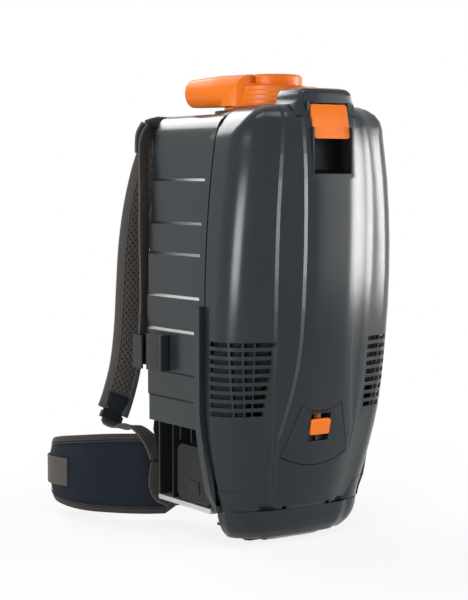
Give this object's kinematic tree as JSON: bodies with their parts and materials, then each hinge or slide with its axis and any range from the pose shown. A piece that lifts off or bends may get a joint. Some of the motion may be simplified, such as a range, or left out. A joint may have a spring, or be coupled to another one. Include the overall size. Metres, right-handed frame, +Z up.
{
  "type": "backpack vacuum cleaner",
  "caption": "Battery backpack vacuum cleaner with hinged cover, top hose swivel, filter door, slide-in battery and padded harness.",
  "frame": {"origin": "on the floor, under the middle of the machine's bounding box", "axes": "+X to the right seen from the front cover, +Y towards the wearer's back, +Z up"},
  "size_m": [0.3766, 0.4382, 0.5922],
  "materials": {
    "body_plastic": "satin moulded",
    "trim_plastic": "fine grained",
    "orange_plastic": "satin gloss",
    "door_plastic": "satin moulded",
    "pack_plastic": "fine grained",
    "steel": "bright drawn",
    "alloy_sheet": "clear anodised",
    "copper_core": "enamelled windings",
    "foam": "open cell",
    "gasket": "soft",
    "paper": "pleated",
    "fleece": "nonwoven",
    "board": "lacquered",
    "belt_cloth": "woven nylon",
    "strap_mesh": "spacer mesh",
    "webbing": "woven webbing",
    "contact": "plated"
  },
  "bodies": {
    "machine": {"front_bumper": "body_plastic", "base_plate": "alloy_sheet", "stand_foot": "trim_plastic", "chassis": "body_plastic", "rear_tub": "body_plastic", "tub_gasket": "gasket", "cover_hinge_pins": "steel", "latch_catch": "trim_plastic", "exhaust_filter": "paper", "exhaust_filter_frame": "trim_plastic", "swivel_base": "trim_plastic", "swivel_seal": "gasket", "inlet_spigot": "trim_plastic", "bag_collar": "fleece", "bag_holder": "trim_plastic", "dust_bag": "fleece", "motor_filter": "foam", "motor_filter_frame": "trim_plastic", "motor_case": "trim_plastic", "motor_stator": "copper_core", "fan_shroud": "trim_plastic", "motor_bearings": "steel", "motor_mounts": "gasket", "control_board": "board", "switch_bezel": "trim_plastic", "battery_contacts": "contact", "battery_rails": "alloy_sheet", "accessory_clips": "trim_plastic", "harness_frame": "trim_plastic", "back_pad": "belt_cloth", "shoulder_strap_left": "strap_mesh", "shoulder_strap_right": "strap_mesh", "shoulder_webbing": "webbing", "strap_adjusters": "trim_plastic", "carry_loop": "webbing", "belt_pad_left": "belt_cloth", "belt_pad_right": "belt_cloth", "belt_webbing_right": "webbing", "buckle_female": "trim_plastic", "belt_tethers": "webbing", "case_screws": "steel"},
    "cover": {"front_cover": "body_plastic", "latch_pin": "steel", "latch_spring": "steel", "exhaust_foams": "foam"},
    "latch_flap": {"cover_latch": "orange_plastic"},
    "filter_door": {"filter_door": "door_plastic", "door_latch_spring": "steel"},
    "door_latch": {"door_latch": "orange_plastic"},
    "swivel": {"hose_swivel": "orange_plastic"},
    "rotor": {"motor_shaft": "steel", "motor_rotor": "steel", "fan_impeller": "alloy_sheet"},
    "switch_rocker": {"power_switch": "orange_plastic"},
    "battery": {"battery_pack": "pack_plastic"},
    "battery_button": {"battery_latch": "trim_plastic"},
    "belt_buckle": {"buckle_male": "trim_plastic", "belt_webbing_left": "webbing"}
  },
  "joints": [
    {"name": "cover_hinge", "type": "hinge", "parent": "machine", "child": "cover", "pos_m": [0, -0.16, 0.052], "axis": [1, 0, 0], "range_deg": [0, 70]},
    {"name": "latch_flap_hinge", "type": "hinge", "parent": "cover", "child": "latch_flap", "pos_m": [0, -0.2034, 0.5482], "axis": [-1, 0, 0], "range_deg": [-5, 30], "stiffness_Nm_per_rad": 0.08, "springref_deg": -11.46},
    {"name": "filter_door_hinge", "type": "hinge", "parent": "cover", "child": "filter_door", "pos_m": [0, -0.17248, 0.094], "axis": [1, 0, 0], "range_deg": [0, 85]},
    {"name": "door_latch_slide", "type": "slide", "parent": "filter_door", "child": "door_latch", "axis": [0, 0, -1], "range_m": [0, 0.007], "stiffness_N_per_m": 300, "springref_m": -0.003, "deforming": ["door_latch_spring"]},
    {"name": "hose_swivel_turn", "type": "hinge", "parent": "machine", "child": "swivel", "pos_m": [0, -0.09, 0.55], "axis": [0, 0, 1], "range_deg": [-165, 60]},
    {"name": "motor_spin", "type": "hinge", "parent": "machine", "child": "rotor", "pos_m": [0, -0.062, 0.2], "axis": [0, 0, 1], "continuous": true},
    {"name": "power_rocker", "type": "hinge", "parent": "machine", "child": "switch_rocker", "pos_m": [0.1152, -0.06, 0.43138], "axis": [0, 0, 1], "range_deg": [-8, 8], "stiffness_Nm_per_rad": 0.05},
    {"name": "battery_slide", "type": "slide", "parent": "machine", "child": "battery", "axis": [-1, 0, 0], "range_m": [0, 0.165]},
    {"name": "battery_button_press", "type": "slide", "parent": "battery", "child": "battery_button", "axis": [1, 0, 0], "range_m": [0, 0.003], "stiffness_N_per_m": 600, "springref_m": -0.002},
    {"name": "buckle_slide", "type": "slide", "parent": "machine", "child": "belt_buckle", "axis": [-1, 0, 0], "range_m": [0, 0.03]}
  ]
}
